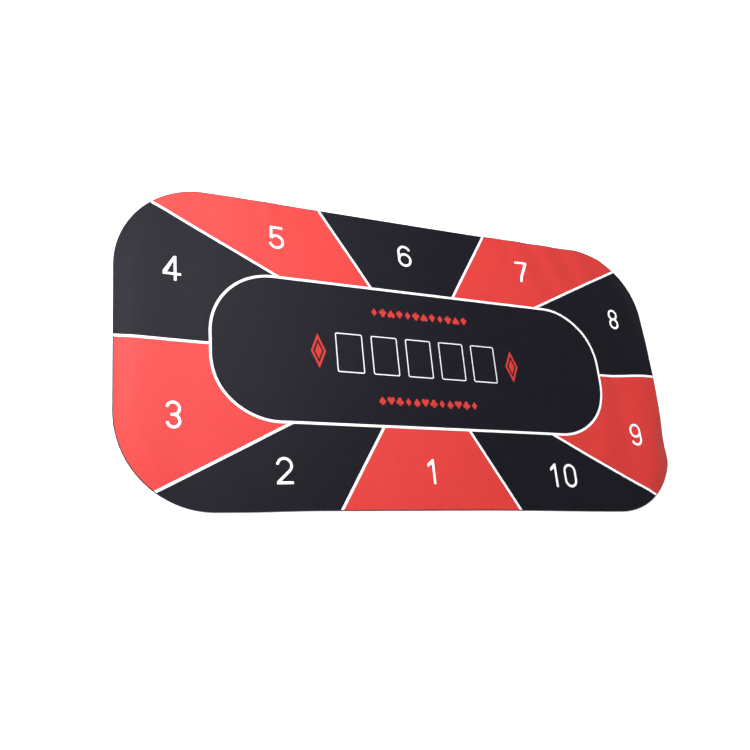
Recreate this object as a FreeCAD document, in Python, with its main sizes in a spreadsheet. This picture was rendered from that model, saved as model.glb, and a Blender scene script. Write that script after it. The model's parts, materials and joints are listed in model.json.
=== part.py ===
import FreeCAD, Part
import math
import os
import Sketcher

# Poker play mat: one flexible three-layer lay-up (rubber base, bonding film,
# face cloth) with the playing layout printed on the cloth.  It lies flat and is
# put away by a letter fold: the left flap folds over the middle panel, then the
# right flap folds over both.
#
# Frame: +X along the long side, +Y across it (seat 6 side), +Z up, origin at
# the middle of the underside.  Millimetres.

os.makedirs("parts", exist_ok=True)

doc = FreeCAD.newDocument("poker_mat")
sheet = doc.addObject("Spreadsheet::Sheet", "Dimensions")

TABLE = [
    ("mat_length", 1800, "overall length along X"),
    ("mat_width", 900, "overall width along Y"),
    ("corner_radius", 250, "radius of the four outside corners"),
    ("base_thickness", 2.3, "rubber foam base"),
    ("film_thickness", 0.15, "bonding film"),
    ("cloth_thickness", 0.45, "face cloth"),
    ("print_thickness", 0.1, "printed layer on the cloth"),
    ("left_fold", 313, "fold line, distance left of the middle"),
    ("right_fold", 282, "fold line, distance right of the middle"),
    ("track_half_length", 652.5, "betting line, half length to the line centre"),
    ("track_half_width", 212, "betting line, half width to the line centre"),
    ("track_radius", 186, "betting line, corner radius at the line centre"),
    ("track_shift", 3, "betting line centre, right of the middle"),
    ("line_width", 7.2, "white zone lines"),
    ("print_margin", 2, "the print stops this far inside the cut edge"),
    ("low_inner_left", 156, "seat 1 left line, inner end"),
    ("low_inner_right", 125, "seat 1 right line, inner end"),
    ("low_outer_left", 307, "seat 1 left line, at the edge"),
    ("low_outer_right", 270, "seat 1 right line, at the edge"),
    ("top_inner_left", 156, "seat 6 left line, inner end"),
    ("top_inner_right", 124, "seat 6 right line, inner end"),
    ("top_outer_left", 308, "seat 6 left line, at the edge"),
    ("top_outer_right", 272, "seat 6 right line, at the edge"),
    ("side_inner_top_left", 444, "upper left corner line, inner end X"),
    ("side_inner_low_left", 430, "lower left corner line, inner end X"),
    ("side_inner_top_right", 435, "upper right corner line, inner end X"),
    ("side_inner_low_right", 427, "lower right corner line, inner end X"),
    ("side_outer_left", 797, "left corner lines, outer end X"),
    ("side_outer_right", 808, "right corner lines, outer end X"),
    ("side_outer_top", 392, "upper corner lines, outer end Y"),
    ("side_outer_low", 399, "lower corner lines, outer end Y"),
    ("end_line_drop", 4, "end lines, below the long centre line"),
    ("numeral_height", 72, "seat numerals"),
    ("numeral_stroke", 7.2, "seat numerals, stroke width"),
    ("card_width", 85, "card box, outside width"),
    ("card_height", 119, "card box, outside height"),
    ("card_pitch", 113, "card box pitch"),
    ("card_line", 3, "card box line width"),
    ("card_corner", 6, "card box outside corner radius"),
    ("card_shift", 18, "card row centre, left of the middle"),
    ("suit_height", 25, "small suit marks"),
    ("suit_pitch", 28, "small suit mark pitch"),
    ("suit_offset", 136, "suit row, distance from the long centre line"),
    ("lozenge_width", 46, "large diamond mark, width"),
    ("lozenge_height", 104, "large diamond mark, height"),
    ("lozenge_left", 341, "left diamond mark, centre X"),
    ("lozenge_right", 311, "right diamond mark, centre X"),
]
for row, (alias, value, note) in enumerate(TABLE, start=1):
    sheet.set("A%d" % row, note)
    sheet.set("B%d" % row, str(value))
    sheet.setAlias("B%d" % row, alias)
doc.recompute()


def dim(alias):
    return float(getattr(sheet, alias))


L2 = dim("mat_length") / 2.0
W2 = dim("mat_width") / 2.0
RC = dim("corner_radius")
FOLD_L = -dim("left_fold")
FOLD_R = dim("right_fold")

Z_FILM = "Dimensions.base_thickness"
Z_CLOTH = "Dimensions.base_thickness + Dimensions.film_thickness"
Z_PRINT = Z_CLOTH + " + Dimensions.cloth_thickness"


def plane_of(body, role):
    for feature in body.Origin.OriginFeatures:
        if feature.Role == role:
            return feature
    raise RuntimeError("no plane " + role)


def new_body(label, z_expression):
    body = doc.addObject("PartDesign::Body", label)
    body.Label = label
    if hasattr(body, "AllowCompound"):
        body.AllowCompound = True
    if z_expression:
        body.setExpression("Placement.Base.z", z_expression)
    sketch = body.newObject("Sketcher::SketchObject", label + "_outline")
    sketch.AttachmentSupport = [(plane_of(body, "XY_Plane"), "")]
    sketch.MapMode = "FlatFace"
    return body, sketch


def pad(body, sketch, thickness_alias):
    feature = body.newObject("PartDesign::Pad", body.Name + "_pad")
    feature.Profile = sketch
    feature.Length = dim(thickness_alias)
    feature.setExpression("Length", "Dimensions." + thickness_alias)
    sketch.Visibility = False
    body.Tip = feature
    return feature


# --- the three stacked layers of each panel ---------------------------------

def flap_layer(label, side, fold_alias, z_expression, thickness_alias):
    """One layer of an end flap: straight at the fold, rounded at its far corners."""
    s = side  # -1 left, +1 right; the left outline is the right one turned half round
    fold = dim(fold_alias)
    body, sk = new_body(label, z_expression)
    k = RC * math.sqrt(0.5)
    cx = L2 - RC
    low = W2 - RC

    def V(x, y):
        return FreeCAD.Vector(s * x, s * y, 0)

    sk.addGeometry([
        Part.LineSegment(V(fold, -W2), V(cx, -W2)),                        # 0
        Part.Arc(V(cx, -W2), V(cx + k, -low - k), V(L2, -low)),            # 1
        Part.LineSegment(V(L2, -low), V(L2, low)),                         # 2
        Part.Arc(V(L2, low), V(cx + k, low + k), V(cx, W2)),               # 3
        Part.LineSegment(V(cx, W2), V(fold, W2)),                          # 4
        Part.LineSegment(V(fold, W2), V(fold, -W2)),                       # 5
    ], False)
    C = Sketcher.Constraint
    sk.addConstraint([
        C("Tangent", 0, 2, 1, 1), C("Tangent", 1, 2, 2, 1),
        C("Tangent", 2, 2, 3, 1), C("Tangent", 3, 2, 4, 1),
        C("Coincident", 4, 2, 5, 1), C("Coincident", 5, 2, 0, 1),
        C("Horizontal", 0), C("Vertical", 2), C("Horizontal", 4), C("Vertical", 5),
        C("Equal", 1, 3),
    ])

    def named(constraint, name, expression):
        index = sk.addConstraint(constraint)
        sk.renameConstraint(index, name)
        sk.setExpression("Constraints." + name, expression)

    named(C("Radius", 1, RC), "corner", "Dimensions.corner_radius")
    if s > 0:
        named(C("DistanceY", 0, 1, 5, 1, 2 * W2), "width", "Dimensions.mat_width")
        named(C("DistanceY", 0, 1, -1, 1, W2), "half_width", "Dimensions.mat_width / 2")
        named(C("DistanceX", -1, 1, 5, 1, fold), "fold", "Dimensions." + fold_alias)
        named(C("DistanceX", -1, 1, 2, 1, L2), "far_end", "Dimensions.mat_length / 2")
    else:
        named(C("DistanceY", 5, 1, 0, 1, 2 * W2), "width", "Dimensions.mat_width")
        named(C("DistanceY", -1, 1, 0, 1, W2), "half_width", "Dimensions.mat_width / 2")
        named(C("DistanceX", 5, 1, -1, 1, fold), "fold", "Dimensions." + fold_alias)
        named(C("DistanceX", 2, 1, -1, 1, L2), "far_end", "Dimensions.mat_length / 2")
    pad(body, sk, thickness_alias)
    return body


def middle_layer(label, z_expression, thickness_alias):
    """One layer of the middle panel: a plain rectangle from fold to fold."""
    body, sk = new_body(label, z_expression)
    V = FreeCAD.Vector
    corner = [V(FOLD_L, -W2, 0), V(FOLD_R, -W2, 0), V(FOLD_R, W2, 0), V(FOLD_L, W2, 0)]
    for i in range(4):
        sk.addGeometry(Part.LineSegment(corner[i], corner[(i + 1) % 4]), False)
    C = Sketcher.Constraint
    sk.addConstraint([C("Coincident", i, 2, (i + 1) % 4, 1) for i in range(4)])
    sk.addConstraint([C("Horizontal", 0), C("Vertical", 1), C("Horizontal", 2), C("Vertical", 3)])

    def named(constraint, name, expression):
        index = sk.addConstraint(constraint)
        sk.renameConstraint(index, name)
        sk.setExpression("Constraints." + name, expression)

    named(C("DistanceY", 0, 1, 2, 2, 2 * W2), "width", "Dimensions.mat_width")
    named(C("DistanceY", 0, 1, -1, 1, W2), "half_width", "Dimensions.mat_width / 2")
    named(C("DistanceX", 0, 1, -1, 1, -FOLD_L), "left_fold", "Dimensions.left_fold")
    named(C("DistanceX", -1, 1, 1, 1, FOLD_R), "right_fold", "Dimensions.right_fold")
    pad(body, sk, thickness_alias)
    return body


LAYERS = [
    ("rubber_base", "", "base_thickness"),
    ("bonding_film", Z_FILM, "film_thickness"),
    ("face_cloth", Z_CLOTH, "cloth_thickness"),
]
nodes = []
for name, z_expression, thickness in LAYERS:
    nodes.append(middle_layer(name + "_middle", z_expression, thickness))
    nodes.append(flap_layer(name + "_left", -1, "left_fold", z_expression, thickness))
    nodes.append(flap_layer(name + "_right", 1, "right_fold", z_expression, thickness))


# --- flat regions of the printed layout --------------------------------------

def vec(x, y):
    return FreeCAD.Vector(x, y, 0)


def polygon(points):
    pts = [vec(*p) for p in points]
    return Part.Face(Part.makePolygon(pts + [pts[0]]))


def box_face(x0, y0, x1, y1):
    return polygon([(x0, y0), (x1, y0), (x1, y1), (x0, y1)])


def rounded_face(cx, cy, hl, hw, r):
    """Rounded rectangle centred at (cx, cy), half sizes hl and hw."""
    k = r * math.sqrt(0.5)
    e = []

    def arc(x, y, sx, sy, a, b):
        mid = vec(x + sx * k, y + sy * k)
        e.append(Part.Arc(a, mid, b).toShape())

    def line(a, b):
        if a.distanceToPoint(b) > 1e-6:
            e.append(Part.LineSegment(a, b).toShape())

    x0, x1, y0, y1 = cx - hl, cx + hl, cy - hw, cy + hw
    line(vec(x0 + r, y0), vec(x1 - r, y0))
    arc(x1 - r, y0 + r, 1, -1, vec(x1 - r, y0), vec(x1, y0 + r))
    line(vec(x1, y0 + r), vec(x1, y1 - r))
    arc(x1 - r, y1 - r, 1, 1, vec(x1, y1 - r), vec(x1 - r, y1))
    line(vec(x1 - r, y1), vec(x0 + r, y1))
    arc(x0 + r, y1 - r, -1, 1, vec(x0 + r, y1), vec(x0, y1 - r))
    line(vec(x0, y1 - r), vec(x0, y0 + r))
    arc(x0 + r, y0 + r, -1, -1, vec(x0, y0 + r), vec(x0 + r, y0))
    return Part.Face(Part.Wire(e))


def stripe(a, b, width, back=0.0, on=0.0):
    """Straight band of a given width from a to b, lengthened at both ends."""
    ax, ay = a
    bx, by = b
    d = math.hypot(bx - ax, by - ay)
    ux, uy = (bx - ax) / d, (by - ay) / d
    ax, ay, bx, by = ax - ux * back, ay - uy * back, bx + ux * on, by + uy * on
    h = width / 2.0
    return polygon([(ax - uy * h, ay + ux * h), (ax + uy * h, ay - ux * h),
                    (bx + uy * h, by - ux * h), (bx - uy * h, by + ux * h)])


def ring_sector(cx, cy, r, width, a0, a1):
    """Part of a ring of centre-line radius r, from angle a0 to a1 in degrees."""
    ro, ri = r + width / 2.0, r - width / 2.0

    def p(rad, deg):
        t = math.radians(deg)
        return vec(cx + rad * math.cos(t), cy + rad * math.sin(t))

    am = 0.5 * (a0 + a1)
    edges = [Part.Arc(p(ro, a0), p(ro, am), p(ro, a1)).toShape(),
             Part.LineSegment(p(ro, a1), p(ri, a1)).toShape(),
             Part.Arc(p(ri, a1), p(ri, am), p(ri, a0)).toShape(),
             Part.LineSegment(p(ri, a0), p(ro, a0)).toShape()]
    return Part.Face(Part.Wire(edges))


def hollow_frame(cx, cy, hl, hw, r, width):
    """Closed band of constant width along a rounded rectangle's outside."""
    return rounded_face(cx, cy, hl, hw, r).cut(
        rounded_face(cx, cy, hl - width, hw - width, r - width))


def flat(shapes):
    """Every face in a list of shapes."""
    return [face for shape in shapes for face in shape.Faces]


def joined(shapes):
    """Union of flat shapes, with the inner seams taken out."""
    faces = flat(shapes)
    out = faces[0]
    if len(faces) > 1:
        out = out.multiFuse(faces[1:])
    return out.removeSplitter()


def minus(shapes, tools):
    """Flat shapes less the tools that reach them."""
    tools = flat(tools)
    left = []
    for face in flat(shapes):
        near = [t for t in tools if face.BoundBox.intersect(t.BoundBox)]
        left += face.cut(near).Faces if near else [face]
    return left


S = dim("numeral_stroke")
NH = dim("numeral_height")


def digit(n):
    """Plain block numeral in a 46 x 72 cell, lower left corner at 0, 0."""
    w = 46.0
    h = NH
    s = S
    if n == 1:
        return joined([polygon([(20, 0), (20 + s, 0), (20 + s, h), (22, h), (5, h - 14), (5, h - 23.5), (20, h - 14)])])
    if n == 2:
        r = (w - s) / 2.0
        cy = h - s / 2.0 - r
        foot = (2.0, 4.0)
        reach = math.hypot(w / 2 - foot[0], cy - foot[1])
        t = math.atan2(foot[1] - cy, foot[0] - w / 2) + math.acos(r / reach)
        tip = (w / 2 + r * math.cos(t), cy + r * math.sin(t))
        return joined([ring_sector(w / 2, cy, r, s, math.degrees(t), 172),
                       stripe(tip, foot, s, 0.3, 8.0).common(box_face(0, 0, w, h)),
                       box_face(0, 0, w, s)])
    if n == 3:
        r = (h - s) / 4.0
        mid = h / 2.0
        return joined([ring_sector(w / 2, mid + r, r, s, -90, 172), ring_sector(w / 2, mid - r, r, s, -172, 90),
                       box_face(w / 2 - 7, mid - s / 2, w / 2 + 1, mid + s / 2)])
    if n == 4:
        outer = polygon([(28.5, 0), (28.5 + s, 0), (28.5 + s, h), (28.5, h), (-1, 26), (-1, 16), (28.5, 16)])
        bar = box_face(28, 16, 48, 16 + s * 0.95)
        hole = polygon([(28.5, 16 + s * 0.95), (28.5, h - 13.5), (9.5, 16 + s * 0.95)])
        return joined([outer.cut(hole), bar])
    if n == 5:
        r = (w - s) / 2.0
        return joined([ring_sector(w / 2, s / 2 + r, r, s, -168, 132),
                       polygon([(6, h), (6 + s, h), (4.7 + s, 41.4), (13.8, 33.2), (4, 33.2)]),
                       box_face(6, h - s, w - 3, h)])
    if n in (6, 9):
        r = (w - s) / 2.0
        shape = joined([ring_sector(w / 2, w / 2, r, s, 0, 180), ring_sector(w / 2, w / 2, r, s, 180, 360),
                        box_face(0, w / 2, s, h - w / 2), ring_sector(w / 2, h - w / 2, r, s, 22, 180)])
        if n == 9:
            shape.rotate(vec(w / 2, h / 2), FreeCAD.Vector(0, 0, 1), 180)
        return shape
    if n == 7:
        return joined([box_face(0, h - s, w, h),
                       polygon([(w - 10, h - s), (w, h - s), (25, 18), (21.5, 0), (13, 0), (16.3, 20)])])
    if n == 8:
        r = (h - s) / 4.0
        mid = h / 2.0
        return joined([ring_sector(w / 2, mid + r, r, s, 0, 180), ring_sector(w / 2, mid + r, r, s, 180, 360),
                       ring_sector(w / 2, mid - r, r, s, 0, 180), ring_sector(w / 2, mid - r, r, s, 180, 360)])
    return joined([hollow_frame(w / 2, h / 2, w / 2, h / 2, w / 2 - 0.01, s)])


def numeral(text, cx, cy):
    gap = 9.0
    width = 46.0
    total = len(text) * width + (len(text) - 1) * gap
    faces = []
    for i, ch in enumerate(text):
        f = digit(int(ch))
        f.translate(vec(cx - total / 2 + i * (width + gap), cy - NH / 2))
        faces.append(f)
    return faces


def move(shape, x, y, turn=0.0):
    shape = shape.copy()
    if turn:
        shape.rotate(vec(0, 0), FreeCAD.Vector(0, 0, 1), turn)
    shape.translate(vec(x, y))
    return shape


def suit(kind, height):
    """Small card suit mark centred on the origin."""
    u = height / 2.0
    circle = lambda x, y, r: Part.Face(Part.Wire(Part.makeCircle(r, vec(x, y))))
    foot = polygon([(-0.42 * u, -u), (0.42 * u, -u), (0.12 * u, -0.55 * u), (0.09 * u, 0.1 * u),
                    (-0.09 * u, 0.1 * u), (-0.12 * u, -0.55 * u)])
    if kind == "diamond":
        return polygon([(0, u), (-0.72 * u, 0), (0, -u), (0.72 * u, 0)])
    if kind == "club":
        return joined([circle(0, 0.5 * u, 0.48 * u), circle(-0.5 * u, -0.18 * u, 0.46 * u),
                       circle(0.5 * u, -0.18 * u, 0.46 * u), foot])
    r = 0.5 * u
    # two round lobes and the straight-sided point they run into
    lobe_y = 0.45 * u
    d = math.hypot(0.47 * u, lobe_y + u)
    ang = math.atan2(-lobe_y - u, -0.47 * u) + math.acos(r / d)
    tx, ty = 0.47 * u + r * math.cos(ang), lobe_y + r * math.sin(ang)
    ang2 = math.atan2(-lobe_y - u, -0.47 * u) - math.acos(r / d)
    tx2, ty2 = 0.47 * u + r * math.cos(ang2), lobe_y + r * math.sin(ang2)
    px, py = (tx, ty) if tx > tx2 else (tx2, ty2)
    heart = joined([circle(-0.47 * u, lobe_y, r), circle(0.47 * u, lobe_y, r),
                    polygon([(0, -u), (px, py), (0.47 * u, lobe_y), (0, lobe_y + 0.1 * u),
                             (-0.47 * u, lobe_y), (-px, py)])])
    if kind == "heart":
        return heart
    spade = heart.copy()
    spade.rotate(vec(0, 0), FreeCAD.Vector(0, 0, 1), 180)
    spade.scale(0.86, vec(0, u))
    return joined([spade, foot])


# whole-mat regions, cut into panels below
lw = dim("line_width")
tx = dim("track_shift")
tl, tw, tr = dim("track_half_length"), dim("track_half_width"), dim("track_radius")
drop = dim("end_line_drop")
whole = rounded_face(0, 0, L2, W2, RC)
track_out = rounded_face(tx, 0, tl + lw / 2, tw + lw / 2, tr + lw / 2)
track_in = rounded_face(tx, 0, tl - lw / 2, tw - lw / 2, tr - lw / 2)
margin = dim("print_margin")
printed = rounded_face(0, 0, L2 - margin, W2 - margin, RC - margin)
field = printed.cut(track_out)
ENDS = [
    ((-dim("low_inner_left"), -tw), (-dim("low_outer_left"), -W2)),
    ((dim("low_inner_right"), -tw), (dim("low_outer_right"), -W2)),
    ((-dim("top_inner_left"), tw), (-dim("top_outer_left"), W2)),
    ((dim("top_inner_right"), tw), (dim("top_outer_right"), W2)),
    ((-dim("side_inner_top_left"), tw), (-dim("side_outer_left"), dim("side_outer_top"))),
    ((-dim("side_inner_low_left"), -tw), (-dim("side_outer_left"), -dim("side_outer_low"))),
    ((dim("side_inner_top_right"), tw), (dim("side_outer_right"), dim("side_outer_top"))),
    ((dim("side_inner_low_right"), -tw), (dim("side_outer_right"), -dim("side_outer_low"))),
    ((tx - tl, -drop), (-L2, -drop)),
    ((tx + tl, -drop), (L2, -drop)),
]
outside_track = printed.cut(track_in)
bands = [stripe(a, b, lw, 0.0, 40.0).common(outside_track) for a, b in ENDS]
lines = joined([track_out.cut(track_in)] + bands)

SEATS = {
    "1": (-13, -339), "2": (-462, -343), "3": (-751, -205), "4": (-749, 201), "5": (-447, 338),
    "6": (-30, 337), "7": (407, 338), "8": (767, 205), "9": (768, -203), "10": (444, -341),
}
RED_SEATS = ("1", "3", "5", "7", "9")
numerals = {k: numeral(k, x, y) for k, (x, y) in SEATS.items()}
every_numeral = [f for faces in numerals.values() for f in faces]

zones = minus([field], [lines])
red_faces = []
for face in zones:
    for seat in RED_SEATS:
        x, y = SEATS[seat]
        if face.isInside(vec(x, y), 1e-3, True):
            red_faces.append(face)
if len(red_faces) != 5:
    raise RuntimeError("expected five red zones, found %d" % len(red_faces))
red = minus(red_faces, every_numeral)

PANELS = [
    ("left", -L2 - 50, FOLD_L),
    ("middle", FOLD_L, FOLD_R),
    ("right", FOLD_R, L2 + 50),
]


def region_body(label, faces):
    """A printed area: its outline in a sketch, padded by the print thickness."""
    body, sk = new_body(label, Z_PRINT)
    geometry = []
    seen = 0.0
    for face in faces:
        seen += face.Area
        for wire in face.Wires:
            for edge in wire.Edges:
                a = edge.valueAt(edge.FirstParameter)
                b = edge.valueAt(edge.LastParameter)
                curve = edge.Curve
                if isinstance(curve, Part.Line):
                    geometry.append(Part.LineSegment(a, b))
                elif a.distanceToPoint(b) < 1e-6:
                    geometry.append(Part.Circle(curve.Center, FreeCAD.Vector(0, 0, 1), curve.Radius))
                else:
                    m = edge.valueAt(0.5 * (edge.FirstParameter + edge.LastParameter))
                    geometry.append(Part.Arc(a, m, b))
    sk.addGeometry(geometry, False)
    pad(body, sk, "print_thickness")
    doc.recompute()
    want = seen * dim("print_thickness")
    got = body.Shape.Volume
    if abs(got - want) > 1e-3 * want:
        raise RuntimeError("%s: volume %.3f, wanted %.3f" % (label, got, want))
    return body


for name, x0, x1 in PANELS:
    window = box_face(x0, -W2 - 50, x1, W2 + 50)
    nodes.append(region_body("red_print_" + name, flat([face.common(window) for face in red])))
    nodes.append(region_body("white_line_print_" + name, flat([face.common(window) for face in lines.Faces])))
    own = [f for k, faces in numerals.items() for f in faces if x0 < SEATS[k][0] < x1]
    nodes.append(region_body("seat_numeral_print_" + name, own))

# five card boxes in a row, from one constrained rounded frame and a linear pattern
card, card_sketch = new_body("card_box_print", Z_PRINT)
cw, ch, cl, cr = dim("card_width") / 2, dim("card_height") / 2, dim("card_line"), dim("card_corner")
first = -dim("card_shift") - 2 * dim("card_pitch")
frame_face = hollow_frame(first, 0.5, cw, ch, cr, cl)
card_geometry = []
for wire in frame_face.Faces[0].Wires:
    for edge in wire.Edges:
        a, b = edge.valueAt(edge.FirstParameter), edge.valueAt(edge.LastParameter)
        if isinstance(edge.Curve, Part.Line):
            card_geometry.append(Part.LineSegment(a, b))
        else:
            card_geometry.append(Part.Arc(a, edge.valueAt(0.5 * (edge.FirstParameter + edge.LastParameter)), b))
card_sketch.addGeometry(card_geometry, False)
card_pad = pad(card, card_sketch, "print_thickness")
doc.recompute()
row = card.newObject("PartDesign::LinearPattern", "card_box_row")
row.Originals = [card_pad]
row.Direction = (plane_of(card, "X_Axis"), [""])
row.Length = 4 * dim("card_pitch")
row.setExpression("Length", "4 * Dimensions.card_pitch")
row.Occurrences = 5
card.Tip = row
nodes.append(card)

# two rows of small suit marks, the upper row facing the other side
kinds = ["spade", "heart", "club", "diamond"] * 3
pitch = dim("suit_pitch")
suit_faces = []
for i, kind in enumerate(kinds):
    x = (i - 5.5) * pitch
    mark = suit(kind, dim("suit_height"))
    suit_faces += move(mark, x, -dim("suit_offset")).Faces
    suit_faces += move(mark, -x, dim("suit_offset"), 180).Faces
nodes.append(region_body("suit_row_print", suit_faces))

# a large split diamond mark at each end of the card row
def lozenge(cx):
    a, b = dim("lozenge_width") / 2, dim("lozenge_height") / 2
    outer = polygon([(cx, b), (cx - a, 0), (cx, -b), (cx + a, 0)])
    k = 0.70
    inner = polygon([(cx, b * k), (cx - a * k, 0), (cx, -b * k), (cx + a * k, 0)])
    k2 = 0.46
    core = polygon([(cx, b * k2), (cx - a * k2, 0), (cx, -b * k2), (cx + a * k2, 0)])
    return [outer.cut(inner).Faces[0], core]


nodes.append(region_body("lozenge_print_left", lozenge(-dim("lozenge_left"))))
nodes.append(region_body("lozenge_print_right", lozenge(dim("lozenge_right"))))

doc.recompute()

# every object must have recomputed cleanly before anything is written
for obj in doc.Objects:
    state = list(getattr(obj, "State", []))
    if "Invalid" in state or "Error" in state:
        raise RuntimeError("%s did not recompute: %s" % (obj.Name, state))
for body in nodes:
    shape = body.Shape
    if shape.isNull() or not shape.isValid() or not shape.Solids:
        raise RuntimeError(body.Label + " has no valid solid")

for body in nodes:
    body.Shape.exportStep("parts/" + body.Label + ".step")
    box = body.Shape.BoundBox
    print("%-28s %2d solid(s)  x %8.2f %8.2f  y %8.2f %8.2f  z %5.2f %5.2f  vol %.0f" % (
        body.Label, len(body.Shape.Solids), box.XMin, box.XMax, box.YMin, box.YMax,
        box.ZMin, box.ZMax, body.Shape.Volume))
print(len(nodes), "nodes")
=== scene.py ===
import json
import math

import bpy
import numpy as np
from mathutils import Matrix, Vector, kdtree
from mathutils.geometry import delaunay_2d_cdt


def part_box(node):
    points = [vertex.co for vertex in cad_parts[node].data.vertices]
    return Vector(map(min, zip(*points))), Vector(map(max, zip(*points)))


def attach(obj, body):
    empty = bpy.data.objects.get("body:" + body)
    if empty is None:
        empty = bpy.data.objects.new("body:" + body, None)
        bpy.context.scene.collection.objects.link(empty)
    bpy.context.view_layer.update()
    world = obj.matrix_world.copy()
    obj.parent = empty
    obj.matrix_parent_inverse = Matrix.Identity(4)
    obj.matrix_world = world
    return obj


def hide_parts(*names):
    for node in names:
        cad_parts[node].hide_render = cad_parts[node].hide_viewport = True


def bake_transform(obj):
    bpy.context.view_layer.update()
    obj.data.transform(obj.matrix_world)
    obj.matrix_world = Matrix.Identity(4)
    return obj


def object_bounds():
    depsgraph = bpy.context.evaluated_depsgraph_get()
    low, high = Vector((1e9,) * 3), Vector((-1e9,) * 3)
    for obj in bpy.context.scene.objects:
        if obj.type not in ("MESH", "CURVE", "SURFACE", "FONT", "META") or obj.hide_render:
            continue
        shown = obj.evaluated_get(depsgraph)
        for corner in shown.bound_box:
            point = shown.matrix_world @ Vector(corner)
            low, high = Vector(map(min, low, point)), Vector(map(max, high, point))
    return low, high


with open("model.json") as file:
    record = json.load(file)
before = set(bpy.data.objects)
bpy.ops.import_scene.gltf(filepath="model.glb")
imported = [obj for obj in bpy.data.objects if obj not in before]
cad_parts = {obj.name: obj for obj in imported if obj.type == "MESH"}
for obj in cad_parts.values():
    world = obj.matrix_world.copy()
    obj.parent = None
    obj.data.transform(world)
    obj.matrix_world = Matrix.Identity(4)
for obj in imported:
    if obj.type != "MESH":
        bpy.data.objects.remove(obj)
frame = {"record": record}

cad_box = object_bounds()

# ---------------------------------------------------------------------------
# sizes, in millimetres, from the frame where it gives them
# ---------------------------------------------------------------------------
MM = 1000.0


def joint(name):
    return next(j for j in frame["record"]["behaviour"]["joints"] if j["name"] == name)


lo, hi = cad_box
L2 = (hi[0] - lo[0]) * MM / 2
W2 = (hi[1] - lo[1]) * MM / 2
RC = 250.0
FOLD_L = joint("left_fold")["pos_m"][0] * MM
FOLD_R = joint("right_fold")["pos_m"][0] * MM
AXIS_L = joint("left_fold")["pos_m"][2] * MM
AXIS_R = joint("right_fold")["pos_m"][2] * MM
Z_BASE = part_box("rubber_base_middle")[1][2] * MM
Z_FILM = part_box("bonding_film_middle")[1][2] * MM
Z_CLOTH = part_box("face_cloth_middle")[1][2] * MM
Z_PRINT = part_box("red_print_middle")[1][2] * MM
SEAM = round((FOLD_L + FOLD_R) / 2, 1)      # where the left and right halves of a layer meet
BEND_L = 16.0                               # width of the stretch that bends, left and right
BEND_R = 32.0

TRACK = (3.0, 652.5, 212.0, 186.0)          # centre x, half length, half width, radius, to the line's centre
LINE = 7.2
RIM = 2.0                                   # the print stops short of the cut edge
ENDS = {
    "12": ((-156, -212), (-307, -450)), "101": ((125, -212), (270, -450)),
    "56": ((-156, 212), (-308, 450)), "67": ((124, 212), (272, 450)),
    "45": ((-444, 212), (-797, 392)), "23": ((-430, -212), (-797, -399)),
    "78": ((435, 212), (808, 392)), "910": ((427, -212), (808, -399)),
    "34": ((3 - 652.5, -4), (-900, -4)), "89": ((3 + 652.5, -4), (900, -4)),
}
SEATS = {
    "1": (-13, -339), "2": (-462, -343), "3": (-751, -205), "4": (-749, 201), "5": (-447, 338),
    "6": (-30, 337), "7": (407, 338), "8": (767, 205), "9": (768, -203), "10": (444, -341),
}
NUM_H, NUM_S, NUM_W = 72.0, 7.2, 46.0
CARD = dict(w=85.0, h=119.0, pitch=113.0, line=3.0, r=6.0, cx=-18.0, cy=0.5)
SUIT = dict(h=25.0, pitch=28.0, off=136.0)
LOZ = dict(w=46.0, h=104.0, left=-341.0, right=311.0)


# ---------------------------------------------------------------------------
# flat shapes: each has an outline to cut the mesh along and an inside test
# ---------------------------------------------------------------------------
def arc_points(cx, cy, r, a0, a1, step):
    n = max(3, int(abs(math.radians(a1 - a0)) * r / step) + 1)
    return [(cx + r * math.cos(math.radians(a0 + (a1 - a0) * i / n)),
             cy + r * math.sin(math.radians(a0 + (a1 - a0) * i / n))) for i in range(n + 1)]


def walk(points, step, closed=True):
    """The same outline with a point at least every step."""
    out = []
    n = len(points)
    last = n if closed else n - 1
    for i in range(last):
        (ax, ay), (bx, by) = points[i], points[(i + 1) % n]
        d = math.hypot(bx - ax, by - ay)
        if d < 1e-6:
            continue
        k = max(1, int(math.ceil(d / step)))
        for j in range(k):
            out.append((ax + (bx - ax) * j / k, ay + (by - ay) * j / k))
    if not closed:
        out.append(points[-1])
    return out


def rrect_points(cx, cy, hl, hw, r, step):
    p = []
    for sx, sy, a in ((1, 1, 0), (-1, 1, 90), (-1, -1, 180), (1, -1, 270)):
        p += arc_points(cx + sx * (hl - r), cy + sy * (hw - r), r, a, a + 90, step)
    return p


def in_rrect(P, cx, cy, hl, hw, r):
    q = np.abs(P - (cx, cy)) - (hl - r, hw - r)
    d = np.hypot(np.maximum(q[:, 0], 0), np.maximum(q[:, 1], 0)) + np.minimum(np.maximum(q[:, 0], q[:, 1]), 0)
    return d < r


def in_poly(P, poly):
    poly = np.asarray(poly, float)
    inside = np.zeros(len(P), bool)
    j = len(poly) - 1
    for i in range(len(poly)):
        xi, yi = poly[i]
        xj, yj = poly[j]
        if yi != yj:
            cross = ((yi > P[:, 1]) != (yj > P[:, 1])) & (P[:, 0] < (xj - xi) * (P[:, 1] - yi) / (yj - yi) + xi)
            inside ^= cross
        j = i
    return inside


class Poly:
    def __init__(self, points, step=6.0):
        self.p = [tuple(map(float, q)) for q in points]
        self.step = step

    def moved(self, dx, dy, turn=0.0):
        c, s = math.cos(math.radians(turn)), math.sin(math.radians(turn))
        return Poly([(x * c - y * s + dx, x * s + y * c + dy) for x, y in self.p], self.step)

    def loops(self):
        return [walk(self.p, self.step)]

    def inside(self, P):
        return in_poly(P, self.p)


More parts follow.
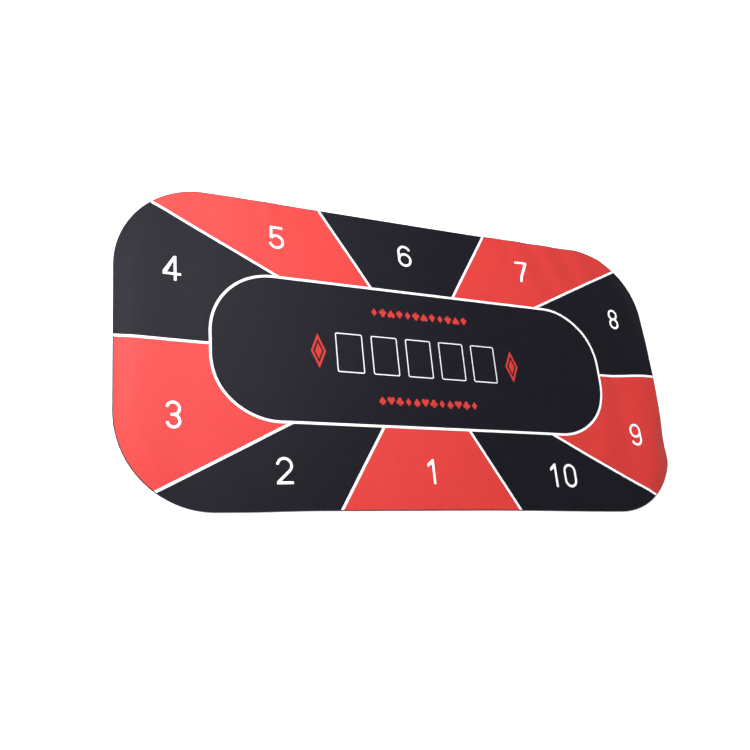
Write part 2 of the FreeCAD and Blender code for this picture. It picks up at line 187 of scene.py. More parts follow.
class Ring:
    """Ring sector, or a disc where the width is twice the radius."""

    def __init__(self, cx, cy, r, w, a0=0.0, a1=360.0, step=1.6):
        self.c, self.r, self.w, self.a0, self.a1, self.step = (cx, cy), r, w, a0, a1, step

    def moved(self, dx, dy, turn=0.0):
        c, s = math.cos(math.radians(turn)), math.sin(math.radians(turn))
        x, y = self.c
        return Ring(x * c - y * s + dx, x * s + y * c + dy, self.r, self.w, self.a0 + turn, self.a1 + turn, self.step)

    def loops(self):
        ro, ri = self.r + self.w / 2, self.r - self.w / 2
        full = self.a1 - self.a0 >= 359.9
        a1 = self.a0 + 360 if full else self.a1
        outer = arc_points(*self.c, ro, self.a0, a1, self.step)
        if ri < 0.05:
            return [outer[:-1]]
        inner = arc_points(*self.c, ri, self.a0, a1, self.step)
        if full:
            return [outer[:-1], inner[:-1]]
        return [walk(outer + inner[::-1], 3.0)]

    def inside(self, P):
        d = P - self.c
        rad = np.hypot(d[:, 0], d[:, 1])
        ok = (rad < self.r + self.w / 2) & (rad > self.r - self.w / 2)
        if self.a1 - self.a0 < 359.9:
            ang = (np.degrees(np.arctan2(d[:, 1], d[:, 0])) - self.a0) % 360
            ok &= ang < (self.a1 - self.a0)
        return ok


def box_poly(x0, y0, x1, y1, step=6.0):
    return Poly([(x0, y0), (x1, y0), (x1, y1), (x0, y1)], step)


def stripe_poly(a, b, width, back=0.0, on=0.0, step=8.0):
    (ax, ay), (bx, by) = a, b
    d = math.hypot(bx - ax, by - ay)
    ux, uy = (bx - ax) / d, (by - ay) / d
    ax, ay, bx, by = ax - ux * back, ay - uy * back, bx + ux * on, by + uy * on
    h = width / 2
    return Poly([(ax - uy * h, ay + ux * h), (ax + uy * h, ay - ux * h),
                 (bx + uy * h, by - ux * h), (bx - uy * h, by + ux * h)], step)


def clipped(points):
    """The part of a polygon above and to the right of the origin."""
    for axis in (0, 1):
        out = []
        for i, a in enumerate(points):
            b = points[(i + 1) % len(points)]
            if a[axis] >= 0:
                out.append(a)
            if (a[axis] >= 0) != (b[axis] >= 0):
                k = a[axis] / (a[axis] - b[axis])
                out.append((a[0] + (b[0] - a[0]) * k, a[1] + (b[1] - a[1]) * k))
        points = out
    return points


def digit(n):
    """Plain block numeral in a 46 x 72 cell."""
    w, h, s = NUM_W, NUM_H, NUM_S
    r = (w - s) / 2
    q = (h - s) / 4
    mid = h / 2
    if n == 0:
        return [Ring(w / 2, w / 2, r, s, 180, 360), Ring(w / 2, h - w / 2, r, s, 0, 180),
                box_poly(0, w / 2, s, h - w / 2), box_poly(w - s, w / 2, w, h - w / 2)]
    if n == 1:
        return [Poly([(20, 0), (20 + s, 0), (20 + s, h), (22, h), (5, h - 14), (5, h - 23.5), (20, h - 14)])]
    if n == 2:
        cy = h - s / 2 - r
        foot = (2.0, 4.0)
        reach = math.hypot(w / 2 - foot[0], cy - foot[1])
        t = math.atan2(foot[1] - cy, foot[0] - w / 2) + math.acos(r / reach)
        tip = (w / 2 + r * math.cos(t), cy + r * math.sin(t))
        full = stripe_poly(tip, foot, s, 0.3, 8.0)
        return [Ring(w / 2, cy, r, s, math.degrees(t), 172), Poly(clipped(full.p)), box_poly(0, 0, w, s)]
    if n == 3:
        return [Ring(w / 2, mid + q, q, s, -90, 172), Ring(w / 2, mid - q, q, s, -172, 90),
                box_poly(w / 2 - 7, mid - s / 2, w / 2 + 1, mid + s / 2)]
    if n == 4:
        top = 16 + s * 0.95
        return [box_poly(28.5, 0, 28.5 + s, h), box_poly(-1, 16, 48, top),
                Poly([(-1, 16), (9.5, top), (28.5, h - 13.5), (28.5, h), (-1, 26)])]
    if n == 5:
        return [Ring(w / 2, s / 2 + r, r, s, -168, 132),
                Poly([(6, h), (6 + s, h), (4.7 + s, 41.4), (13.8, 33.2), (4, 33.2)]),
                box_poly(6, h - s, w - 3, h)]
    if n in (6, 9):
        parts = [Ring(w / 2, w / 2, r, s), box_poly(0, w / 2, s, h - w / 2), Ring(w / 2, h - w / 2, r, s, 22, 180)]
        return parts if n == 6 else [p.moved(w, h, 180) for p in parts]
    if n == 7:
        return [box_poly(0, h - s, w, h),
                Poly([(w - 10, h - s), (w, h - s), (25, 18), (21.5, 0), (13, 0), (16.3, 20)])]
    return [Ring(w / 2, mid + q, q, s), Ring(w / 2, mid - q, q, s)]


def numeral(text, cx, cy):
    gap = 9.0
    total = len(text) * NUM_W + (len(text) - 1) * gap
    out = []
    for i, ch in enumerate(text):
        out += [p.moved(cx - total / 2 + i * (NUM_W + gap), cy - NUM_H / 2) for p in digit(int(ch))]
    return out


def suit(kind, height):
    u = height / 2
    foot = Poly([(-0.42 * u, -u), (0.42 * u, -u), (0.12 * u, -0.55 * u), (0.09 * u, 0.1 * u),
                 (-0.09 * u, 0.1 * u), (-0.12 * u, -0.55 * u)], 2.5)
    if kind == "diamond":
        return [Poly([(0, u), (-0.72 * u, 0), (0, -u), (0.72 * u, 0)], 2.5)]
    disc = lambda x, y, r: Ring(x, y, r / 2, r, step=1.2)
    if kind == "club":
        return [disc(0, 0.5 * u, 0.48 * u), disc(-0.5 * u, -0.18 * u, 0.46 * u), disc(0.5 * u, -0.18 * u, 0.46 * u), foot]

    def heart(k, flip):
        r, lx, ly = 0.5 * u, 0.47 * u, 0.45 * u
        d = math.hypot(lx, ly + u)
        ang = math.atan2(-ly - u, -lx)
        a = max((ang + math.acos(r / d), ang - math.acos(r / d)), key=lambda t: lx + r * math.cos(t))
        px, py = lx + r * math.cos(a), ly + r * math.sin(a)
        pts = [(0, -u), (px, py), (lx, ly), (0, ly + 0.1 * u), (-lx, ly), (-px, py)]
        if not flip:
            return [disc(-lx, ly, r), disc(lx, ly, r), Poly(pts, 2.5)]
        f = lambda x, y: (-x * k, u + (-y - u) * k)
        (ax, ay), (bx, by) = f(-lx, ly), f(lx, ly)
        return [disc(ax, ay, r * k), disc(bx, by, r * k), Poly([f(*q) for q in pts], 2.5)]

    return heart(1.0, False) if kind == "heart" else heart(0.86, True) + [foot]


# the whole layout
whole = dict(cx=0.0, cy=0.0, hl=L2, hw=W2, r=RC)
tx, tl, tw, tr = TRACK
stripes = [stripe_poly(a, b, LINE, 0.0, 40.0) for a, b in ENDS.values()]
numerals = [p for k, (x, y) in SEATS.items() for p in numeral(k, x, y)]
cards = [(CARD["cx"] + i * CARD["pitch"], CARD["cy"]) for i in (-2, -1, 0, 1, 2)]
suits = []
for i, kind in enumerate(["spade", "heart", "club", "diamond"] * 3):
    x = (i - 5.5) * SUIT["pitch"]
    suits += [p.moved(x, -SUIT["off"]) for p in suit(kind, SUIT["h"])]
    suits += [p.moved(-x, SUIT["off"], 180) for p in suit(kind, SUIT["h"])]


def diamond(cx, k):
    a, b = LOZ["w"] / 2 * k, LOZ["h"] / 2 * k
    return Poly([(cx, b), (cx - a, 0), (cx, -b), (cx + a, 0)], 4.0)


def beyond(key, k=3.0):
    (ax, ay), (bx, by) = ENDS[key]
    return (ax + (bx - ax) * k, ay + (by - ay) * k)


RED_ZONES = [
    [ENDS["12"][0], beyond("12"), beyond("101"), ENDS["101"][0]],
    [ENDS["34"][0], (-2500, -4), (-2500, -1200), beyond("23"), ENDS["23"][0], (-430, -60)],
    [ENDS["45"][0], beyond("45"), (-1600, 2000), (-600, 2000), beyond("56"), ENDS["56"][0]],
    [ENDS["67"][0], beyond("67"), (600, 2000), (1600, 2000), beyond("78"), ENDS["78"][0]],
    [ENDS["89"][0], (2500, -4), (2500, -1200), beyond("910"), ENDS["910"][0], (427, -60)],
]


# ---------------------------------------------------------------------------
# how the mat lies: millimetres of lift over the table, and of sideways draw
# ---------------------------------------------------------------------------
def smooth(t):
    t = np.clip(t, 0.0, 1.0)
    return t * t * (3 - 2 * t)


def bump(x, centre, half):
    t = np.clip(np.abs(x - centre) / half, 0, 1)
    return (1 - t * t) ** 2


def lift(P):
    x, y = P[:, 0], P[:, 1]
    z = np.zeros(len(P))
    # distance in from the outline, on the rounded rectangle
    q = np.abs(P) - (L2 - RC, W2 - RC)
    edge = RC - (np.hypot(np.maximum(q[:, 0], 0), np.maximum(q[:, 1], 0)) + np.minimum(np.maximum(q[:, 0], q[:, 1]), 0))
    edge = np.maximum(edge, 0)
    # left end: swells a little and comes down to the table at the rim
    left = smooth((-x - 690) / 170) * (0.8 + 0.2 * np.cos(y / 260.0))
    z += 4.4 * left * smooth(edge / 58.0)
    # right end: a trough, then a ridge with its crest near the rim, higher towards the lower corner
    tall = 0.5 + 0.5 * smooth((150 - y) / 330.0)
    z += 2.2 * bump(x, 643, 84) * smooth((250 - y) / 120) * smooth((y + 330) / 90)
    rim = 0.78 * smooth((y + 215) / 95) * smooth((230 - y) / 120)
    rise = 0.5 * smooth((x - 702) / 95) + 0.5 * smooth((x - 748) / 112)
    z += 7.2 * tall * rise * (rim + (1 - rim) * smooth(edge / 52.0))
    # lower right corner rolls under at its rim
    corner = np.exp(-(((x - 835) / 85.0) ** 2 + ((y + 245) / 95.0) ** 2))
    z += 2.4 * corner * smooth(edge / 24.0)
    # soft waves across the upper right, strongest at the edge
    gate = smooth((x - 330) / 110) * smooth((800 - x) / 80) * smooth((y - 185) / 200)
    z += gate * (1.45 + 1.45 * np.sin((x + 0.42 * (y - 330) - 532) * 2 * math.pi / 125.0))
    # creases near the upper left edge
    z += 1.5 * bump(x + 0.15 * (y - 450), -468, 40) * smooth((y - 335) / 100)
    z += 1.1 * bump(x, -560, 90) * smooth((y - 300) / 140)
    # lower left: one long soft swell
    z += 1.2 * bump(x + 0.3 * y, -760, 120) * smooth((-y - 210) / 140)
    # broad undulation everywhere but at the middle seam
    broad = 0.5 + 0.5 * np.sin(x / 61.0 + 1.1 * np.sin(y / 173.0)) * np.sin(y / 127.0 + 0.7)
    z += 0.7 * broad * smooth((np.abs(x - SEAM) - 60) / 160)
    return z


def draw(P):
    """Sideways shift: a soft sheet is never pulled quite square on the table."""
    x, y = P[:, 0], P[:, 1]
    d = np.zeros_like(P)
    # right rim, drawn in above the lower corner and at the upper corner
    ys = np.arange(-480.0, 481.0, 4.0)
    pull = np.interp(ys, [-310, -290, -262, -238, -215, -150, -100, -50, 0, 100, 160, 210, 290, 380],
                     [0, 0, 7.0, 13.5, 14.5, 12.5, 10.5, 8.0, 7.0, 7.5, 8.5, 9.5, 6.5, 0])
    kernel = np.exp(-((np.arange(-9, 10) * 4.0 / 13.0) ** 2))
    pull = np.convolve(pull, kernel / kernel.sum(), mode="same")
    d[:, 0] -= np.interp(y, ys, pull) * smooth((x - 700) / 195)
    d[:, 1] += 9.5 * smooth((x - 670) / 210) * np.exp(-((y / 105.0) ** 2))
    # lower corners splay out a little
    low_right = smooth((x - 120) / 560) * smooth((-y - 120) / 300)
    d[:, 1] -= 5.0 * low_right
    d[:, 0] += 5.0 * smooth((x - 520) / 260) * smooth((-y - 200) / 160)
    low_left = smooth((-x - 360) / 240) * smooth((-y - 120) / 300)
    d[:, 1] -= 3.5 * low_left
    up_right = smooth((x - 650) / 140) * smooth((y - 270) / 110)
    d[:, 0] -= 2.4 * up_right
    d[:, 1] -= 2.4 * up_right
    for cx, cy, k in ((-622, -120, -3.2), (620, -140, 3.4)):
        g = np.exp(-(((x - cx) / 90.0) ** 2) - ((y - cy) / 78.0) ** 2)
        d[:, 0] += k * g
        d[:, 1] -= 1.5 * g
    # upper left corner and upper edge, drawn in
    up_left = smooth((-x - 600) / 220) * smooth((y - 180) / 180)
    d[:, 0] += 3.2 * up_left
    d[:, 1] -= 2.6 * smooth((y - 250) / 190) * smooth((330 - x) / 90)
    return d


# ---------------------------------------------------------------------------
# one plane triangulation, cut along every printed outline
# ---------------------------------------------------------------------------
def hex_grid(step):
    pts = []
    rows = int(2 * W2 / (step * 0.866)) + 2
    cols = int(2 * L2 / step) + 2
    for j in range(rows):
        y = -W2 - step * 0.3 + j * step * 0.866
        for i in range(cols):
            pts.append((-L2 - step * 0.3 + (i + 0.5 * (j % 2)) * step, y))
    return pts


def columns():
    xs = []
    for fold, width, n in ((FOLD_L, BEND_L, 10), (FOLD_R, BEND_R, 16)):
        xs += [fold - width / 2 + width * i / n for i in range(n + 1)]
    return xs


def triangulate(loops, lines, step):
    verts, edges = [], []

    def add(points, closed):
        base = len(verts)
        verts.extend(points)
        n = len(points)
        for i in range(n - (0 if closed else 1)):
            edges.append((base + i, base + (i + 1) % n))

    for loop in loops:
        add(loop, True)
    for line in lines:
        add(line, False)
    tree = kdtree.KDTree(len(verts))
    for i, (x, y) in enumerate(verts):
        tree.insert((x, y, 0), i)
    tree.balance()
    for p in hex_grid(step):
        near = tree.find((p[0], p[1], 0))
        if near[2] > step * 0.42:
            verts.append(p)
    result = delaunay_2d_cdt([Vector(v) for v in verts], edges, [], 0, 1e-4, False)
    P = np.array([tuple(v) for v in result[0]], float)
    T = np.array([tuple(f) for f in result[2] if len(f) == 3], int)
    a, b, c = P[T[:, 0]], P[T[:, 1]], P[T[:, 2]]
    area = 0.5 * ((b[:, 0] - a[:, 0]) * (c[:, 1] - a[:, 1]) - (b[:, 1] - a[:, 1]) * (c[:, 0] - a[:, 0]))
    T[area < 0] = T[area < 0][:, ::-1]
    keep = np.abs(area) > 1e-7
    T = T[keep]
    mid = P[T].mean(1)
    T = T[in_rrect(mid, **whole)]
    return P, T


outline_loop = walk(rrect_points(0, 0, L2, W2, RC, 5.0), 9.0)
print_loop = walk(rrect_points(0, 0, L2 - RIM, W2 - RIM, RC - RIM, 5.0), 9.0)
uprights = [walk([(x, -W2 - 5), (x, W2 + 5)], 9.0, closed=False) for x in columns() + [SEAM]]

art_loops = [outline_loop, print_loop]
for k in (LINE / 2, -LINE / 2):
    art_loops.append(walk(rrect_points(tx, 0, tl + k, tw + k, tr + k, 5.0), 9.0))
for shape in stripes + numerals + suits:
    art_loops += shape.loops()
for cx, cy in cards:
    for k in (0.0, CARD["line"]):
        art_loops.append(walk(rrect_points(cx, cy, CARD["w"] / 2 - k, CARD["h"] / 2 - k, CARD["r"] - k, 1.0), 8.0))
for cx in (LOZ["left"], LOZ["right"]):
    for k in (1.0, 0.70, 0.46):
        art_loops += diamond(cx, k).loops()

P, T = triangulate(art_loops, uprights, 11.0)

mid = P[T].mean(1)
kind = np.full(len(T), "black", dtype="<U8")
in_out = in_rrect(mid, tx, 0, tl + LINE / 2, tw + LINE / 2, tr + LINE / 2)
in_in = in_rrect(mid, tx, 0, tl - LINE / 2, tw - LINE / 2, tr - LINE / 2)
for poly in RED_ZONES:
    kind[in_poly(mid, poly) & ~in_out] = "red"
line = in_out & ~in_in
for s in stripes:
    line |= s.inside(mid) & ~in_in
kind[line] = "line"
kind[~in_rrect(mid, 0, 0, L2 - RIM, W2 - RIM, RC - RIM)] = "black"
for group, name in ((numerals, "numeral"), (suits, "suit")):
    hit = np.zeros(len(T), bool)
    for s in group:
        hit |= s.inside(mid)
    kind[hit] = name
for cx, cy in cards:
    o = in_rrect(mid, cx, cy, CARD["w"] / 2, CARD["h"] / 2, CARD["r"])
    i = in_rrect(mid, cx, cy, CARD["w"] / 2 - CARD["line"], CARD["h"] / 2 - CARD["line"], CARD["r"] - CARD["line"])
    kind[o & ~i] = "card"
for cx in (LOZ["left"], LOZ["right"]):
    kind[(diamond(cx, 1.0).inside(mid) & ~diamond(cx, 0.70).inside(mid)) | diamond(cx, 0.46).inside(mid)] = "lozenge"

height = lift(P)
shift = draw(P)


def slab(name, pts, tris, z0, z1, h, d):
    """Closed thin solid over a set of triangles, between two heights, following the lie of the mat."""
    used, inv = np.unique(tris, return_inverse=True)
    tris = inv.reshape(-1, 3)
    n = len(used)
    xy = pts[used] + d[used]
    top = np.column_stack([xy, h[used] + z1])
    low = np.column_stack([xy, h[used] + z0])
    co = np.vstack([top, low]) / MM
    directed = np.vstack([tris[:, [0, 1]], tris[:, [1, 2]], tris[:, [2, 0]]])
    key = directed[:, 0].astype(np.int64) * n + directed[:, 1]
    back = directed[:, 1].astype(np.int64) * n + directed[:, 0]
    rim = directed[~np.isin(key, back)]
    faces = [tuple(t) for t in tris] + [(t[2] + n, t[1] + n, t[0] + n) for t in tris]
    faces += [(b, a, a + n, b + n) for a, b in rim]
    mesh = bpy.data.meshes.new(name)
    mesh.from_pydata([tuple(c) for c in co], [], [tuple(int(i) for i in f) for f in faces])
    mesh.update()
    uv = mesh.uv_layers.new(name="UVMap")
    flat = np.vstack([pts[used], pts[used]]) / MM
    loops = np.zeros(len(mesh.loops), np.int32)
    mesh.loops.foreach_get("vertex_index", loops)
    uv.data.foreach_set("uv", flat[loops].astype(np.float32).ravel())
    mesh.polygons.foreach_set("use_smooth", [True] * len(mesh.polygons))
    # the cut edge is sharp
    rimset = {(min(a, b), max(a, b)) for a, b in rim} | {(min(a, b) + n, max(a, b) + n) for a, b in rim}
    ev = np.zeros(len(mesh.edges) * 2, np.int32)
    mesh.edges.foreach_get("vertices", ev)
    ev = ev.reshape(-1, 2)
    sharp = [(min(a, b), max(a, b)) in rimset for a, b in ev.tolist()]
    attr = mesh.attributes.get("sharp_edge") or mesh.attributes.new("sharp_edge", "BOOLEAN", "EDGE")
    attr.data.foreach_set("value", sharp)
    obj = bpy.data.objects.new(name, mesh)
    bpy.context.collection.objects.link(obj)
    return obj


# ---------------------------------------------------------------------------
# materials
# ---------------------------------------------------------------------------
def new_material(name):
    m = bpy.data.materials.new(name)
    m.use_nodes = True
    nt = m.node_tree
    nt.nodes.clear()
    out = nt.nodes.new("ShaderNodeOutputMaterial")
    bsdf = nt.nodes.new("ShaderNodeBsdfPrincipled")
    nt.links.new(bsdf.outputs["BSDF"], out.inputs["Surface"])
    return m, nt, bsdf


def math_node(nt, op, a, b=None, c=None):
    n = nt.nodes.new("ShaderNodeMath")
    n.operation = op
    for i, v in enumerate((a, b, c)):
        if v is None:
            continue
        if isinstance(v, (int, float)):
            n.inputs[i].default_value = v
        else:
            nt.links.new(v, n.inputs[i])
    return n.outputs[0]


def uv_vector(nt, scale):
    uv = nt.nodes.new("ShaderNodeUVMap")
    uv.uv_map = "UVMap"
    mp = nt.nodes.new("ShaderNodeMapping")
    mp.inputs["Scale"].default_value = (scale, scale, scale)
    nt.links.new(uv.outputs["UV"], mp.inputs["Vector"])
    return mp.outputs["Vector"]


def noise(nt, vector, scale, detail=2.0, rough=0.5):
    n = nt.nodes.new("ShaderNodeTexNoise")
    n.noise_dimensions = "2D"
    n.inputs["Scale"].default_value = scale
    n.inputs["Detail"].default_value = detail
    n.inputs["Roughness"].default_value = rough
    nt.links.new(vector, n.inputs["Vector"])
    return n.outputs["Fac"]


def ramp(nt, fac, stops):
    r = nt.nodes.new("ShaderNodeValToRGB")
    while len(r.color_ramp.elements) < len(stops):
        r.color_ramp.elements.new(0.5)
    for e, (pos, col) in zip(r.color_ramp.elements, stops):
        e.position = pos
        e.color = (*col, 1.0)
    nt.links.new(fac, r.inputs["Fac"])
    return r.outputs["Color"]


def cloth_material(name, dark, light, sheen=0.25, sheen_tint=(0.9, 0.92, 1.0), rough=0.78, knit=0.45, specular=0.25):
    """Fine printed polyester knit: tiny ribbed stitches, faint mottling from the dye and the nap."""
    m, nt, bsdf = new_material(name)
    v = uv_vector(nt, 1.0)
    sep = nt.nodes.new("ShaderNodeSeparateXYZ")
    nt.links.new(v, sep.inputs[0])
    pitch = 2 * math.pi / 0.0012
    # stitches: rows of small v shapes, from two crossed waves
    a = math_node(nt, "SINE", math_node(nt, "MULTIPLY", math_node(nt, "ADD", sep.outputs[0], sep.outputs[1]), pitch))
    b = math_node(nt, "SINE", math_node(nt, "MULTIPLY", math_node(nt, "SUBTRACT", sep.outputs[0], sep.outputs[1]), pitch))
    stitch = math_node(nt, "MULTIPLY", a, b)
    fuzz = noise(nt, v, 900.0, 2.0, 0.6)
    fine = math_node(nt, "ADD", math_node(nt, "MULTIPLY", stitch, 0.5), fuzz)
    mott = noise(nt, v, 26.0, 4.0, 0.62)
    broad = noise(nt, v, 5.5, 2.0, 0.5)
    grain = noise(nt, v, 420.0, 3.0, 0.7)
    mix = math_node(nt, "ADD", math_node(nt, "MULTIPLY", mott, 0.45), math_node(nt, "MULTIPLY", broad, 0.3))
    mix = math_node(nt, "ADD", mix, math_node(nt, "MULTIPLY", grain, 0.25))
    colour = ramp(nt, mix, [(0.32, dark), (0.68, light)])
    nt.links.new(colour, bsdf.inputs["Base Color"])
    r = math_node(nt, "ADD", math_node(nt, "MULTIPLY", mott, 0.10), rough - 0.05)
    nt.links.new(r, bsdf.inputs["Roughness"])
    bump_node = nt.nodes.new("ShaderNodeBump")
    bump_node.inputs["Strength"].default_value = knit
    bump_node.inputs["Distance"].default_value = 0.00012
    nt.links.new(fine, bump_node.inputs["Height"])
    soft = nt.nodes.new("ShaderNodeBump")
    soft.inputs["Strength"].default_value = 0.35
    soft.inputs["Distance"].default_value = 0.0008
    nt.links.new(noise(nt, v, 34.0, 3.0, 0.55), soft.inputs["Height"])
    nt.links.new(bump_node.outputs["Normal"], soft.inputs["Normal"])
    nt.links.new(soft.outputs["Normal"], bsdf.inputs["Normal"])
    bsdf.inputs["Specular IOR Level"].default_value = specular
    bsdf.inputs["Sheen Weight"].default_value = sheen
    bsdf.inputs["Sheen Roughness"].default_value = 0.45
    bsdf.inputs["Sheen Tint"].default_value = (*sheen_tint, 1.0)
    return m


def rubber_material(name):
    """Natural rubber foam: fine open cells on its cut edge, a moulded non-slip grid below."""
    m, nt, bsdf = new_material(name)
    v = uv_vector(nt, 1.0)
    sep = nt.nodes.new("ShaderNodeSeparateXYZ")
    nt.links.new(v, sep.inputs[0])
    k = 2 * math.pi / 0.0042
    gx = math_node(nt, "ABSOLUTE", math_node(nt, "SINE", math_node(nt, "MULTIPLY", sep.outputs[0], k / 2)))
    gy = math_node(nt, "ABSOLUTE", math_node(nt, "SINE", math_node(nt, "MULTIPLY", sep.outputs[1], k / 2)))
    grid = math_node(nt, "POWER", math_node(nt, "MINIMUM", gx, gy), 0.45)
    cells = nt.nodes.new("ShaderNodeTexVoronoi")
    cells.voronoi_dimensions = "2D"
    cells.inputs["Scale"].default_value = 1500.0
    nt.links.new(v, cells.inputs["Vector"])
    height = math_node(nt, "ADD", grid, math_node(nt, "MULTIPLY", cells.outputs["Distance"], 0.25))
    bump_node = nt.nodes.new("ShaderNodeBump")
    bump_node.inputs["Strength"].default_value = 0.7
    bump_node.inputs["Distance"].default_value = 0.0004
    nt.links.new(height, bump_node.inputs["Height"])
    nt.links.new(bump_node.outputs["Normal"], bsdf.inputs["Normal"])
    wear = noise(nt, v, 9.0, 4.0, 0.6)
    dust = noise(nt, v, 160.0, 3.0, 0.7)
    mix = math_node(nt, "ADD", math_node(nt, "MULTIPLY", wear, 0.55), math_node(nt, "MULTIPLY", dust, 0.45))
    # painted shade: the grid's grooves are painted darker and its ridges lighter, on top of the wear and dust tone
    mix = math_node(nt, "ADD", math_node(nt, "MULTIPLY", grid, 0.35), math_node(nt, "MULTIPLY", mix, 0.65))
    nt.links.new(ramp(nt, mix, [(0.25, (0.009, 0.009, 0.010)), (0.8, (0.030, 0.030, 0.032))]), bsdf.inputs["Base Color"])
    nt.links.new(math_node(nt, "ADD", math_node(nt, "MULTIPLY", dust, 0.15), 0.72), bsdf.inputs["Roughness"])
    bsdf.inputs["Specular IOR Level"].default_value = 0.3
    return m


def film_material(name):
    m, nt, bsdf = new_material(name)
    v = uv_vector(nt, 1.0)
    nt.links.new(ramp(nt, noise(nt, v, 120.0, 3.0, 0.6), [(0.3, (0.012, 0.012, 0.013)), (0.7, (0.028, 0.028, 0.030))]),
                 bsdf.inputs["Base Color"])
    bsdf.inputs["Roughness"].default_value = 0.55
    return m


BLACK = cloth_material("cloth_black", (0.0026, 0.0021, 0.0050), (0.0042, 0.0035, 0.0080), sheen=0.005, rough=0.47, specular=0.138)
RED = cloth_material("cloth_red", (0.4600, 0.0220, 0.0171), (0.4894, 0.0255, 0.0205), sheen=0.015, sheen_tint=(1.0, 0.9, 0.9), rough=0.50, specular=0.33)
WHITE = cloth_material("cloth_white", (0.80, 0.80, 0.82), (0.86, 0.86, 0.88), sheen=0.02, specular=0.12)
CARDLINE = cloth_material("cloth_card_line", (0.62, 0.62, 0.66), (0.72, 0.72, 0.76), sheen=0.02, specular=0.12)
MARK = cloth_material("cloth_mark_red", (0.400, 0.024, 0.018), (0.440, 0.029, 0.022), sheen=0.01, sheen_tint=(1.0, 0.9, 0.9), specular=0.2)
RUBBER = rubber_material("rubber_foam")
FILM = film_material("bond_film")

# ---------------------------------------------------------------------------
# pieces: every layer is two halves that meet in the middle panel
# ---------------------------------------------------------------------------
HALVES = {
    "left": dict(flap="left_flap", start=FOLD_L + BEND_L / 2, end=FOLD_L - BEND_L / 2,
                 pick=lambda m: m[:, 0] < SEAM),
    "right": dict(flap="right_flap", start=FOLD_R - BEND_R / 2, end=FOLD_R + BEND_R / 2,
                  pick=lambda m: m[:, 0] > SEAM),
}


def finish_piece(obj, material, nodes, half=None):
    obj.data.materials.append(material)
    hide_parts(*nodes)
    if half is None:
        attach(obj, "middle_panel")
    else:
        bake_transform(obj)
    return obj


for half, info in HALVES.items():
    side = info["pick"](mid)
    both = lambda stem: [stem + "_middle", stem + "_" + half]
    finish_piece(slab("rubber_foam_" + half, P, T[side], 0.0, Z_BASE, height, shift),
                 RUBBER, both("rubber_base"), half)
    finish_piece(slab("bond_film_" + half, P, T[side], Z_BASE, Z_FILM, height, shift),
                 FILM, both("bonding_film"), half)
    finish_piece(slab("cloth_black_" + half, P, T[side], Z_FILM, Z_CLOTH, height, shift),
                 BLACK, both("face_cloth"), half)
    finish_piece(slab("print_red_" + half, P, T[side & (kind == "red")], Z_CLOTH, Z_PRINT, height, shift),
                 RED, both("red_print"), half)
    finish_piece(slab("print_lines_" + half, P, T[side & (kind == "line")], Z_CLOTH, Z_PRINT, height, shift),
                 WHITE, both("white_line_print"), half)

num = kind == "numeral"
finish_piece(slab("numerals_left", P, T[num & (mid[:, 0] < FOLD_L)], Z_CLOTH, Z_PRINT, height, shift),
             WHITE, ["seat_numeral_print_left"], "left")
finish_piece(slab("numerals_right", P, T[num & (mid[:, 0] > FOLD_R)], Z_CLOTH, Z_PRINT, height, shift),
             WHITE, ["seat_numeral_print_right"], "right")
finish_piece(slab("numerals_middle", P, T[num & (mid[:, 0] > FOLD_L) & (mid[:, 0] < FOLD_R)], Z_CLOTH, Z_PRINT, height, shift),
             WHITE, ["seat_numeral_print_middle"])
finish_piece(slab("card_boxes", P, T[kind == "card"], Z_CLOTH, Z_PRINT, height, shift),
             CARDLINE, ["card_box_print"])
finish_piece(slab("suit_rows", P, T[kind == "suit"], Z_CLOTH, Z_PRINT, height, shift),
             MARK, ["suit_row_print"])
for half, cx in (("left", LOZ["left"]), ("right", LOZ["right"])):
    pick = (kind == "lozenge") & (np.abs(mid[:, 0] - cx) < 60)
    finish_piece(slab("diamond_mark_" + half, P, T[pick], Z_CLOTH, Z_PRINT, height, shift),
                 MARK, ["lozenge_print_" + half], half)


# ---------------------------------------------------------------------------
# floor, light, camera
# ---------------------------------------------------------------------------
floor_mesh = bpy.data.meshes.new("floor")
floor_mesh.from_pydata([(-30, -30, 0), (30, -30, 0), (30, 30, 0), (-30, 30, 0)], [], [(0, 1, 2, 3)])
floor = bpy.data.objects.new("floor", floor_mesh)
floor.location = (0, 0, -0.0006)
bpy.context.collection.objects.link(floor)
fm, fnt, fb = new_material("floor_pale")
fb.inputs["Base Color"].default_value = (0.93, 0.93, 0.93, 1)
fb.inputs["Roughness"].default_value = 0.9
fb.inputs["Specular IOR Level"].default_value = 0.1
fb.inputs["Emission Color"].default_value = (1, 1, 1, 1)
# the floor stays pale to the horizon: it glows a little more beyond the reach of the lamps
fgeo = fnt.nodes.new("ShaderNodeNewGeometry")
flen = fnt.nodes.new("ShaderNodeVectorMath")
flen.operation = "LENGTH"
fnt.links.new(fgeo.outputs["Position"], flen.inputs[0])
fmap = fnt.nodes.new("ShaderNodeMapRange")
fmap.interpolation_type = "SMOOTHSTEP"
for i, v in enumerate((2.2, 7.0, 0.30, 0.58)):
    fmap.inputs[i + 1].default_value = v
fnt.links.new(flen.outputs["Value"], fmap.inputs[0])
fnt.links.new(fmap.outputs[0], fb.inputs["Emission Strength"])
floor_mesh.materials.append(fm)

world = bpy.data.worlds.new("studio")
bpy.context.scene.world = world
world.use_nodes = True
wnt = world.node_tree
bg = wnt.nodes["Background"]
bg.inputs["Strength"].default_value = 1.0
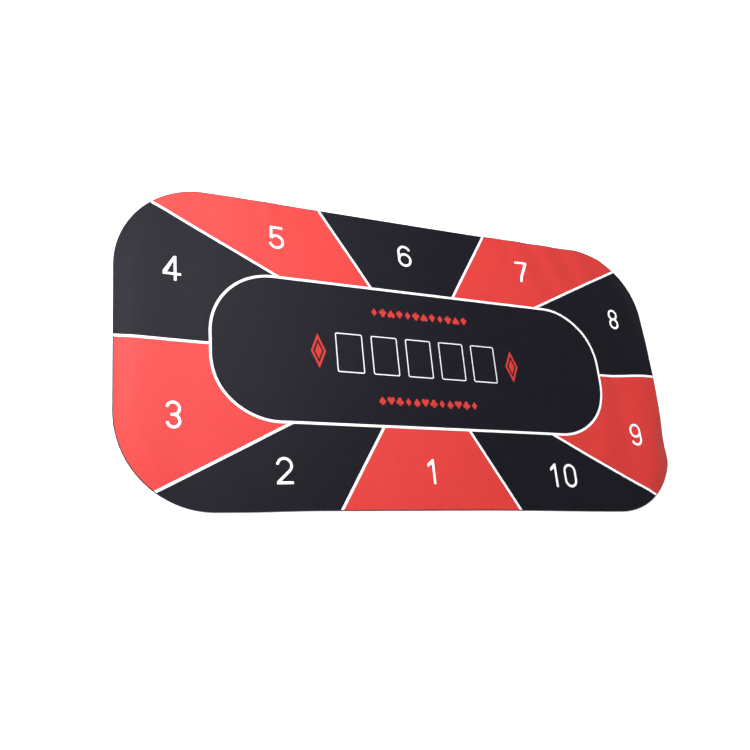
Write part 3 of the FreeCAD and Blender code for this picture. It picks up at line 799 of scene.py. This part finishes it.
# white walls low down, a dimmer ceiling
wco = wnt.nodes.new("ShaderNodeTexCoord")
wsep = wnt.nodes.new("ShaderNodeSeparateXYZ")
wnt.links.new(wco.outputs["Generated"], wsep.inputs[0])
wramp = wnt.nodes.new("ShaderNodeValToRGB")
wramp.color_ramp.interpolation = "EASE"
wramp.color_ramp.elements[0].position, wramp.color_ramp.elements[0].color = 0.10, (0.85, 0.85, 0.85, 1.0)
wramp.color_ramp.elements[1].position, wramp.color_ramp.elements[1].color = 0.24, (0.390, 0.390, 0.390, 1.0)
wnt.links.new(wsep.outputs[2], wramp.inputs["Fac"])
wnt.links.new(wramp.outputs["Color"], bg.inputs["Color"])


def area_light(name, loc, target, size, size_y, watts, colour=(1, 1, 1)):
    data = bpy.data.lights.new(name, "AREA")
    data.shape = "RECTANGLE"
    data.size, data.size_y = size, size_y
    data.energy = watts
    data.color = colour
    obj = bpy.data.objects.new(name, data)
    obj.location = loc
    obj.rotation_euler = (Vector(target) - Vector(loc)).to_track_quat("-Z", "Y").to_euler()
    bpy.context.collection.objects.link(obj)
    return obj


area_light("key_left", (-4.6, 0.7, 2.2), (0.0, 0.0, 0.0), 2.2, 2.0, 372.0)
area_light("top_left", (-0.75, 1.15, 2.5), (-0.6, 0.1, 0.0), 1.7, 1.7, 92.0, (0.90, 0.92, 1.0))

cam_data = bpy.data.cameras.new("camera")
cam_data.sensor_width = 36.0
cam_data.sensor_fit = "HORIZONTAL"
cam_data.lens = 36.0 * 879.09 / 750.0
cam_data.clip_start = 0.05
cam_data.clip_end = 60.0
cam = bpy.data.objects.new("camera", cam_data)
right = Vector((0.89437644, -0.09003044, 0.43816128))
down = Vector((0.06523141, -0.94281411, -0.3268737))
fwd = Vector((0.44253322, 0.32093001, -0.83735791))
rot = Matrix((right, -down, -fwd)).transposed().to_4x4()
rot.translation = Vector((-1.28025918, -0.86490579, 2.10238026))
cam.matrix_world = rot
bpy.context.collection.objects.link(cam)
bpy.context.scene.camera = cam
bpy.context.scene.view_settings.view_transform = "Standard"
